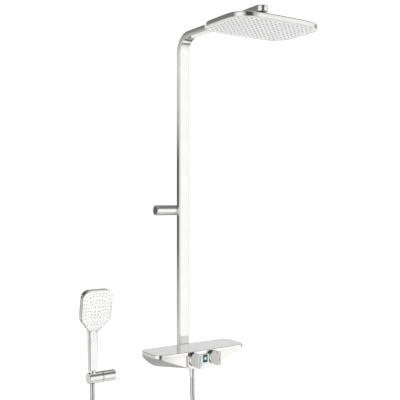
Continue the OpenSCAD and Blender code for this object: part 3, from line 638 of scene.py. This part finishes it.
def add_mixer(materials):
    """Shelf, housing and everything on its front."""
    chrome, plated = materials["chrome"], materials["plated_plastic"]
    low, high = box_mm("shelf_rim")
    plan = shelf_plan()
    glass_low, glass_high = box_mm("shelf_glass")
    rim = [(8, low.z), (0.4, low.z, 0.3), (0, low.z + 1, 0.5), (0, high.z, 1.6), (3, high.z, 0.4),
           (3, glass_low.z), (8, glass_low.z)]
    add_piece("shelf_frame", slab(plan, rim, UP, closed=True), chrome, "root", "shelf_rim")
    glass = [(9, glass_low.z), (3.3, glass_low.z), (3.3, glass_high.z, 0.9), (9, glass_high.z)]
    add_piece("shelf_top", slab(plan, glass, UP), materials["glass_top"], "root", "shelf_glass")
    add_piece("mixer_shell", mixer_shell(), plated, "root", "mixer_housing", sharp=18)
    low, high = box_mm("control_panel")
    half = high.x
    dip = [(-half * math.cos(t), PANEL_Z + (low.z - PANEL_Z) * math.sin(t))
           for t in (math.pi * k / 24 for k in range(25))]
    outline = [(-half, high.z), *dip, (half, high.z)]
    face = [(6, -high.y), (0, -high.y), (0, -low.y, 1.2), (6, -low.y)]
    add_piece("front_panel", slab(outline, face, OUT), chrome, "root", "control_panel")
    add_display(materials)
    for side in ("flow", "temp"):
        add_knob(side, materials)
    add_rosettes(chrome)


def add_display(materials):
    """Pale surround, dark window and a generic pale square on it."""
    low, high = box_mm("display_bezel")
    outline = rounded_rect(high.x - low.x, high.z - low.z, 1.5, 4)
    place = at((low.x + high.x) / 2, 0, (low.z + high.z) / 2, OUT)
    plate = [(1.4, -high.y), (0, -high.y), (0, -low.y, 0.4), (1.4, -low.y)]
    halo = materials["display_halo"]
    add_piece("display_surround", slab(outline, plate, place), halo, "root", "display_bezel")
    low, high = box_mm("display_window")
    place = at((low.x + high.x) / 2, 0, (low.z + high.z) / 2, OUT)
    outline = rounded_rect(high.x - low.x, high.z - low.z, 1.2, 4)
    glow_t = 0.15
    pane = [(1.1, -high.y), (0, -high.y), (0, -low.y - glow_t, 0.3), (1.1, -low.y - glow_t)]
    glass = materials["display_glass"]
    add_piece("display_pane", slab(outline, pane, place), glass, "root", "display_window")
    glow = [(0.4, -low.y - glow_t), (0, -low.y - glow_t), (0, -low.y), (0.4, -low.y)]
    add_piece("display_glow", slab(rounded_rect(7.5, 8.5, 1, 4), glow, place), halo, "root")


def add_knob(side, materials):
    """Round disc with a bar across it."""
    body = side + "_knob"
    low, high = box_mm(side + "_disc")
    x, z, radius = (low.x + high.x) / 2, (low.z + high.z) / 2, (high.x - low.x) / 2
    bore = 4.02
    disc = [(bore, -high.y), (radius, -high.y, 0.4), (radius, -low.y, 1.0), (bore, -low.y)]
    turned = lathe(disc, at(x, 0, z, OUT), True, 96)
    add_piece(side + "_knob_disc", turned, materials["chrome"], body, side + "_disc")
    low, high = box_mm(side + "_grip")
    half = (high.x - low.x) / 2
    lean = math.degrees(math.asin(half / radius))
    outline = arc(0, 0, radius, 90 - lean, 90 + lean, 8) + arc(0, 0, radius, 270 - lean, 270 + lean, 8)
    bar = [(3, -high.y), (0, -high.y, 0.3), (0, -low.y, 1.6), (4, -low.y)]
    grip = slab(outline, bar, at(x, 0, z, OUT))
    add_piece(side + "_knob_bar", grip, materials["plated_plastic"], body, side + "_grip")


def add_rosettes(chrome):
    """Dishes that cover the two inlets at the wall."""
    low, high = box_mm("inlet_rosettes")
    radius, bore = (high.z - low.z) / 2, 11.2
    dish = [(bore, 0), (radius, 0, 0.3), (radius, 3, 1.5), (13, -low.y, 0.8), (bore, -low.y)]
    dishes = [lathe(dish, at(side * (high.x - radius), 0, 0, OUT), True) for side in (-1, 1)]
    add_piece("wall_rosettes", joined(*dishes), chrome, "root", "inlet_rosettes")


def add_outlet(materials):
    """Conical nut that holds the hose under the mixer."""
    low, high = box_mm("outlet_nut")
    y, wide = (low.y + high.y) / 2, high.x
    bore, thread, depth = 5, 10.1, 14
    nut = [(bore, low.z), (9, low.z, 0.8), (9.3, low.z + 4, 1), (wide - 0.4, high.z - 9, 2),
           (wide, high.z - 6, 0.8), (wide, high.z, 0.8), (thread, high.z), (thread, high.z - depth),
           (bore, high.z - depth)]
    turned = lathe(nut, at(0, y, 0), True, 96)
    return add_piece("outlet_sleeve", turned, materials["chrome"], "root", "outlet_nut")


# ---- hand shower and its holder ----

HAND_TILT = 12  # of the head against the handle, in degrees
HAND_STEPS = 72
HEAD_H = 142
HEAD_CORNER = 24
FACE_Y = -19
FACE_MID = 80
FACE_LOW = 18.5
NOZZLE_BASE = 18.9  # how far in front of the handle's axis the small nozzles stand
NOZZLE_R = 1.75
INSERT = 32  # side of the square insert
CONE_FOOT = 8.8  # radius of the conical nut's lower end
NOZZLE_RINGS = ((20.5, 12, 1), (29, 20, 1), (38, 24, 1.12), (46, 28, 1.12))  # reach, count, stretch in height


def hand_half_width(z):
    """Half width of the hand shower's head at a height above the handle."""
    low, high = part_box("hand_shell")
    half = (high.x - low.x) / 2 / MM
    knots = [(-6, 16), (0, 16.4), (8, 21), (20, 32), (32, 42.5), (40, half - 5), (48, half - 1.3), (58, half),
             (200, half)]
    for (z1, w1), (z2, w2) in zip(knots, knots[1:]):
        if z <= z2:
            return w1 + (w2 - w1) * (z - z1) / (z2 - z1)
    return half


def hand_frame():
    """Frame of the hand shower's head: its origin is at the top of the handle."""
    low, high = box_mm("hand_waterway")
    place = at((low.x + high.x) / 2, (low.y + high.y) / 2, high.z + 4)
    return place @ Matrix.Rotation(math.radians(HAND_TILT), 4, "X")


def hand_outline(inset, low):
    """Front outline of the head above a height, in x and z."""
    half = hand_half_width(HEAD_H) - inset
    top = HEAD_H - inset
    radius = HEAD_CORNER - inset / 2
    sides = [(hand_half_width(z) - inset * 1.25, z) for z in (low + 2, 26, 32, 37)]
    sides += [(hand_half_width(z) - inset, z) for z in (42, 47, 52, 58, 70, 90)]
    start = [(sides[0][0] - 2.5, low)]
    right = start + sides + arc(half - radius, top - radius, radius, 0, 90, 12)
    return right + [(-x, z) for x, z in reversed(right)]


def hand_section(place, half_w, front, back, corner=9, seam=-6.0):
    """Closed section of the hand shower: flat in front, rounded behind, widest at its seam."""
    ring = []
    for k in range(HAND_STEPS):
        t = math.tau * k / HAND_STEPS
        c, s = math.cos(t), math.sin(t)
        power = 2.8 if s > 0 else corner
        reach = (abs(c) ** power + abs(s) ** power) ** (-1 / power)
        y = seam + (back - seam) * reach * s if s > 0 else seam - (front - seam) * reach * s
        ring.append(place @ Vector((half_w * reach * c, y, 0)))
    return ring


def hand_shell_shape():
    """Handle and head in one smooth body, with the pocket for its face and the slot for its button."""
    head = hand_frame()
    foot = box_mm("hand_shell")[0].z
    origin = head.translation
    rings = []
    handle = [(foot, 13.2, 7.6), (foot + 0.8, 14, 8.5), (foot + 30, 14.6, 8.9), (foot + 60, 15.2, 9.4),
              (foot + 90, 15.7, 9.8), (origin.z - 14, 16, 10)]
    for z, half_w, half_d in handle:
        rings.append(hand_section(at(origin.x, origin.y, z), half_w, -half_d, half_d, 8, 0.0))
    shoulder = [(2, -11.8, 9.6, 8, -1), (8, -13.6, 8.4, 8, -2.5), (14, -15.8, 7.4, 8, -4),
                (20, -17.8, 6.7, 8.5, -5)]
    for z, front, back, corner, seam in shoulder:
        rings.append(hand_section(head @ at(0, 0, z), hand_half_width(z), front, back, corner, seam))
    for z in (26, 32, 37, 42, 48, 54, 60, 70, 80, 90, 100, 108, HEAD_H - HEAD_CORNER):
        rings.append(hand_section(head @ at(0, 0, z), hand_half_width(z), FACE_Y, 6))
    half = hand_half_width(HEAD_H)
    for k in range(1, 13):
        t = math.radians(90) * k / 12
        drop = 9 * (1 - math.cos(max(0, t - 0.35) / (math.pi / 2 - 0.35) * math.pi / 2))
        top = head @ at(0, 0, HEAD_H - HEAD_CORNER * (1 - math.sin(t)))
        rings.append(hand_section(top, half - HEAD_CORNER * (1 - math.cos(t)), FACE_Y, 6 - drop))
    body = loft(rings)
    pocket = slab(hand_outline(3.5, FACE_LOW - 0.3), [(0, 16.3), (0, 25)], head @ OUT)
    button_low, button_high = box_mm("mode_button")
    width, height = button_high.x - button_low.x + 0.6, button_high.z - button_low.z + 0.6
    middle = at(origin.x, 0, (button_low.z + button_high.z) / 2, OUT)
    slot = slab(rounded_rect(width, height, width / 2 - 0.01, 12), [(0, -button_high.y - 2), (0, 60)], middle)
    return boolean(boolean(body, pocket, "DIFFERENCE"), slot, "DIFFERENCE")


def add_hand_shower(materials):
    """Chrome body, white face with its insert, rings of nozzles and the mode button."""
    plated, white = materials["plated_plastic"], materials["white_plastic"]
    head = hand_frame()
    add_piece("hand_body", hand_shell_shape(), plated, "hand_shower", "hand_shell", sharp=32)
    edge = [(5, 16.4), (0, 16.4), (0, -FACE_Y, 0.7), (5, -FACE_Y)]
    face = slab(hand_outline(3.8, FACE_LOW), edge, head @ OUT)
    add_piece("hand_face_plate", face, white, "hand_shower", "hand_face")
    centre = head @ at(0, 0, FACE_MID, OUT)
    edge = [(5, 17), (0, 17), (0, 20.4, 0.8), (2.4, 20.4, 0.5), (3.4, 20.9, 0.5), (5.4, 20.9)]
    insert = slab(rounded_rect(INSERT, INSERT, 6, 6), edge, centre)
    add_piece("hand_insert_plate", insert, white, "hand_shower", "hand_insert")
    tips = [nozzle(centre @ at(7.5 * sx, 7.5 * sz, 20.6), 3.0, 0.8, 20) for sx in (-1, 1) for sz in (-1, 1)]
    for reach, count, tall in NOZZLE_RINGS:
        for k in range(count):
            t = math.tau * (k + 0.5) / count
            c, s = math.cos(t), math.sin(t)
            swell = (abs(c) ** 4 + abs(s) ** 4) ** -0.25
            place = centre @ at(reach * swell * c, reach * tall * swell * s, NOZZLE_BASE)
            tips.append(nozzle(place, NOZZLE_R, 1.1))
    add_piece("hand_nozzles", joined(*tips), materials["silicone"], "hand_shower", "hand_nozzle_mat")
    add_mode_button(materials)


def add_mode_button(materials):
    """Pill-shaped rocker with a ring at each end."""
    low, high = box_mm("mode_button")
    width, height = high.x - low.x, high.z - low.z
    place = at((low.x + high.x) / 2, 0, (low.z + high.z) / 2, OUT)
    pill = rounded_rect(width, height, width / 2 - 0.01, 14)
    edge = [(3, -high.y), (0, -high.y, 0.3), (0, -low.y - 0.7, 0.9), (3, -low.y - 0.3, 1), (6, -low.y)]
    rocker = slab(pill, edge, place)
    add_piece("mode_rocker", rocker, materials["white_plastic"], "mode_button", "mode_button")
    marks = []
    for rise in (-11, 11):
        ring = [(1.6, -low.y - 0.1), (2.2, -low.y - 0.1), (2.2, -low.y), (1.6, -low.y)]
        marks.append(lathe(ring, place @ at(0, rise, 0), True, 24))
    add_piece("mode_marks", joined(*marks), materials["silicone"], "mode_button")


def add_holder(materials):
    """Barrel in two halves: the tilting cup with its cone seat, and the fixed half on its wall post."""
    chrome = materials["chrome"]
    low, high = box_mm("holder_cup")
    y, z, radius = (low.y + high.y) / 2, (low.z + high.z) / 2, (high.z - low.z) / 2
    axis = at(0, y, z, RIGHT)
    cup = lathe([(2, low.x), (radius, low.x), (radius, high.x, 0.7), (2, high.x)], axis, sides=96)
    cone_low, cone_high = box_mm("cone_nut")
    x = (cone_low.x + cone_high.x) / 2
    top_r, low_r, gap, axle_r = cone_high.x - x, CONE_FOOT, 0.1, 6.06
    bore = lathe([(low_r + gap, cone_low.z - 12), (low_r + gap, cone_low.z), (top_r + gap, cone_high.z),
                  (top_r + gap, cone_high.z + 10)], at(x, y, 0), sides=48)
    pivot = lathe([(axle_r, high.x - 13), (axle_r, high.x + 5)], axis, sides=48)
    shape = boolean(boolean(cup, bore, "DIFFERENCE"), pivot, "DIFFERENCE")
    add_piece("holder_socket", shape, chrome, "holder_cup", "holder_cup")
    low, high = box_mm("holder_cup_cap")
    cap = [(2, low.x + 0.5), (radius - 5, low.x + 0.5, 0.4), (radius - 4, low.x, 0.4),
           (radius - 0.2, low.x, 1.0), (radius, high.x)]
    add_piece("holder_socket_end", lathe(cap, axis, sides=96), chrome, "holder_cup", "holder_cup_cap")
    low, high = box_mm("holder_barrel")
    barrel = [(radius - 3, low.x), (radius, low.x, 0.7), (radius, high.x), (radius - 3, high.x)]
    add_piece("holder_sleeve", lathe(barrel, axis, True, 96), chrome, "root", "holder_barrel")
    low, high = box_mm("holder_end_ring")
    ring = [(2, low.x), (radius, low.x), (radius - 0.3, high.x - 1.2, 1.0), (radius - 2.2, high.x, 0.4),
            (2, high.x)]
    add_piece("holder_sleeve_end", lathe(ring, axis, sides=96), chrome, "root", "holder_end_ring")
    add_piece("holder_foot", post_shape("holder_post"), chrome, "root", "holder_post")


def add_cone(materials):
    """Conical nut at the hand shower's end of the hose."""
    low, high = box_mm("cone_nut")
    x, y = (low.x + high.x) / 2, (low.y + high.y) / 2
    top_r = high.x - x
    cone = [(5, low.z), (CONE_FOOT, low.z, 0.6), (top_r, high.z, 0.5), (5, high.z)]
    turned = lathe(cone, at(x, y, 0), True)
    return add_piece("hose_cone", turned, materials["plated_plastic"], "hand_shower", "cone_nut")


# ---- floor and light ----

# The studio that the chrome reflects, as (place, brightness or share) stops of what direction_of() gives.
ROOM = [(0.0, 0.9), (0.03, 1.0), (0.115, 1.0), (0.163, 0.6), (0.19, 0.09), (0.252, 0.09), (0.29, 0.6),
        (0.32, 1.0), (0.5, 0.97), (0.76, 0.92)]
RIGHT_FLAG = ([(0.0, 0.0), (0.455, 0.0), (0.485, 1.0), (0.545, 1.0), (0.575, 0.0)],
              [(0.0, 0.0), (0.34, 0.0), (0.40, 1.0), (0.60, 1.0), (0.66, 0.0)], 0.15)
LOW_WALL = ([(0.0, 0.0), (0.53, 0.0), (0.58, 1.0), (0.80, 1.0), (0.83, 0.0)],
            [(0.0, 0.0), (0.06, 0.0), (0.10, 1.0), (0.34, 1.0), (0.40, 0.0)], 0.44)
PATCHES = (RIGHT_FLAG, LOW_WALL)  # share across, share up, brightness
LEFT_WALL = [(0.0, 0.35), (0.02, 0.0), (0.76, 0.0), (0.80, 1.0), (0.955, 1.0), (0.99, 0.5)]
LEFT_WALL_SHADES = [(0.0, 0.35), (0.36, 0.70), (0.40, 0.58), (0.43, 0.40), (0.47, 0.13), (0.52, 0.10),
                    (0.57, 0.50), (0.595, 0.62), (0.625, 0.22), (0.70, 0.20), (0.9, 0.5)]
CEILING = [(0.0, 0.95), (0.076, 0.9), (0.088, 0.2), (0.102, 0.2), (0.13, 0.65), (0.20, 0.85), (0.33, 0.95),
           (0.40, 1.0), (0.58, 1.0), (0.74, 0.45), (0.82, 0.14), (0.92, 0.22), (0.97, 0.9)]
WORLD_STRENGTH = 1.08
LIGHTS = {  # place, aim, size and power
    "front_soft": ((-2.4, -3.0, 1.9), (0, -0.2, 0.5), 2.4, 110),
    "low_soft": ((1.0, -0.6, -0.35), (0, -0.45, 1.03), 1.2, 8),
    "top_soft": ((-0.4, -1.0, 1.9), (0, -0.12, 0.03), 1.0, 4),
}
FLOOR_Z = -1050
FLOOR_R = 2900


def scaled(tree, value, low, high):
    """Value brought from a range to 0 to 1."""
    node = tree.nodes.new("ShaderNodeMapRange")
    node.inputs["From Min"].default_value = low
    node.inputs["From Max"].default_value = high
    tree.links.new(value, node.inputs["Value"])
    return node.outputs["Result"]


def shades(tree, value, stops):
    """Smooth grey ramp through (place, brightness) stops."""
    node = tree.nodes.new("ShaderNodeValToRGB")
    node.color_ramp.interpolation = "EASE"
    elements = node.color_ramp.elements
    while len(elements) < len(stops):
        elements.new(stops[len(elements) - 1][0])
    for element, (place, brightness) in zip(elements, stops):
        element.position = place
        element.color = (*grey(brightness), 1)
    tree.links.new(value, node.inputs["Fac"])
    return node.outputs["Color"]


def combined(tree, kind, factor, first, second):
    """Two colours mixed or multiplied; each input is a socket, a number or a colour."""
    node = tree.nodes.new("ShaderNodeMix")
    node.data_type = "RGBA"
    node.blend_type = kind
    sockets = node.inputs["Factor"], node.inputs[6], node.inputs[7]
    for socket, value in zip(sockets, (factor, first, second)):
        if isinstance(value, (float, tuple)):
            socket.default_value = value
        else:
            tree.links.new(value, socket)
    return node.outputs[2]


def direction_of(tree):
    """Where a ray goes: around, 0 to 1 from the left through the front, and its height, 0 to 1 from below."""
    direction = tree.nodes.new("ShaderNodeTexCoord").outputs["Generated"]
    split = tree.nodes.new("ShaderNodeSeparateXYZ")
    tree.links.new(direction, split.inputs["Vector"])
    turn = tree.nodes.new("ShaderNodeMath")
    turn.operation = "ARCTAN2"
    tree.links.new(split.outputs["Y"], turn.inputs[0])
    tree.links.new(split.outputs["X"], turn.inputs[1])
    around = scaled(tree, turn.outputs[0], -math.pi, math.pi)
    return around, scaled(tree, split.outputs["Z"], -1, 1)


def add_world():
    """White studio: soft panels all round, with grey flags between them that draw the chrome's edges."""
    world = bpy.data.worlds.new("studio")
    bpy.context.scene.world = world
    world.use_nodes = True
    tree = world.node_tree
    around, height = direction_of(tree)
    room = shades(tree, around, ROOM)
    for across, up, brightness in PATCHES:
        share = combined(tree, "MULTIPLY", 1.0, shades(tree, around, across), shades(tree, height, up))
        room = combined(tree, "MIX", share, room, (*grey(brightness), 1))
    left_wall = shades(tree, height, LEFT_WALL_SHADES)
    room = combined(tree, "MIX", shades(tree, around, LEFT_WALL), room, left_wall)
    room = combined(tree, "MULTIPLY", 1.0, room, shades(tree, height, CEILING))
    seen = tree.nodes.new("ShaderNodeLightPath").outputs["Is Camera Ray"]
    background = tree.nodes["Background"]
    tree.links.new(combined(tree, "MIX", seen, room, (1, 1, 1, 1)), background.inputs["Color"])
    background.inputs["Strength"].default_value = WORLD_STRENGTH


def add_light(name, place, aim, size, power):
    """Soft light that brightens surfaces without showing in the chrome."""
    data = bpy.data.lights.new(name, "AREA")
    data.shape = "DISK"
    data.size = size
    data.energy = power
    light = bpy.data.objects.new(name, data)
    light.location = place
    light.rotation_euler = (Vector(aim) - Vector(place)).to_track_quat("-Z", "Y").to_euler()
    light.visible_camera = False
    light.visible_glossy = False
    bpy.context.collection.objects.link(light)


def add_floor():
    """Pale round floor below the hose."""
    outline = arc(0, 0, FLOOR_R, 0, 357.5, 143)
    middle = FLOOR_R - 300
    disc = slab(outline, [(middle, 0), (0, 0, 20), (0, -40), (middle, -40)], at(0, 0, FLOOR_Z))
    floor = new_object("floor", disc)
    floor.data.materials.append(new_material("floor_white", grey(0.86), grey(0.88), (0.5, 0.6), 3, 60, 0.02,
                                             Emission_Color=(1, 1, 1, 1), Emission_Strength=0.25))
    floor.visible_glossy = False


# ---- the scene ----

add_camera()
materials = make_materials()
hose, hose_line = add_hose(materials)
outlet = add_outlet(materials)
cone = add_cone(materials)
paint_cad(materials)
add_column(materials)
add_rain_head(materials)
add_mixer(materials)
add_hand_shower(materials)
add_holder(materials)
add_world()
for light_name, light_row in LIGHTS.items():
    add_light(light_name, *light_row)
add_floor()
bpy.context.scene.view_settings.view_transform = "Standard"
